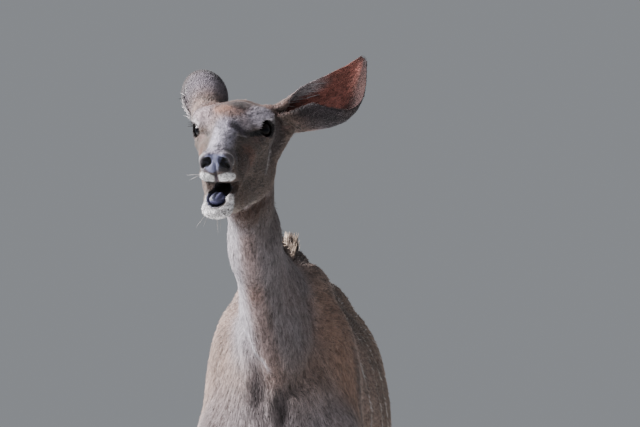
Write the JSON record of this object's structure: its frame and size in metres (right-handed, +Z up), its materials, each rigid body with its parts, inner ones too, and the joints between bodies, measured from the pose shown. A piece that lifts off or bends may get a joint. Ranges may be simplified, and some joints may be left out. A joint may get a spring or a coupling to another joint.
{
  "type": "greater kudu cow model",
  "caption": "Life-size standing kudu cow, a slender long-necked antelope with wide leaf-shaped ears and no horns, her head up and her mouth open as she browses.",
  "frame": {"origin": "centre of the bounding box's footprint, on the floor under the soles of the hooves", "axes": "+Y towards the tail, +X to the animal's left, +Z up; the animal faces -Y"},
  "size_m": [0.3442, 1.7998, 1.6576],
  "materials": {
    "coat": "matt",
    "tail_hair": "matt",
    "hoof": "satin",
    "eye": "wet gloss",
    "tongue": "damp"
  },
  "bodies": {
    "root": {"chest": "coat", "barrel": "coat", "rump": "coat", "neck_lower": "coat", "neck_upper": "coat", "eye_right": "eye", "eye_left": "eye", "head": "coat", "lower_jaw": "coat", "tongue": "tongue", "ear_left": "coat", "foreleg_left": "coat", "fore_cannon_left": "coat", "fore_foot_left": "coat", "fore_hoof_left_inner": "hoof", "fore_hoof_left_outer": "hoof", "thigh_left": "coat", "hind_cannon_left": "coat", "hind_foot_left": "coat", "hind_hoof_left_inner": "hoof", "hind_hoof_left_outer": "hoof", "ear_right": "coat", "foreleg_right": "coat", "fore_cannon_right": "coat", "fore_foot_right": "coat", "fore_hoof_right_outer": "hoof", "fore_hoof_right_inner": "hoof", "thigh_right": "coat", "hind_cannon_right": "coat", "hind_foot_right": "coat", "hind_hoof_right_outer": "hoof", "hind_hoof_right_inner": "hoof", "tail": "coat", "tail_tuft": "tail_hair"}
  },
  "joints": []
}
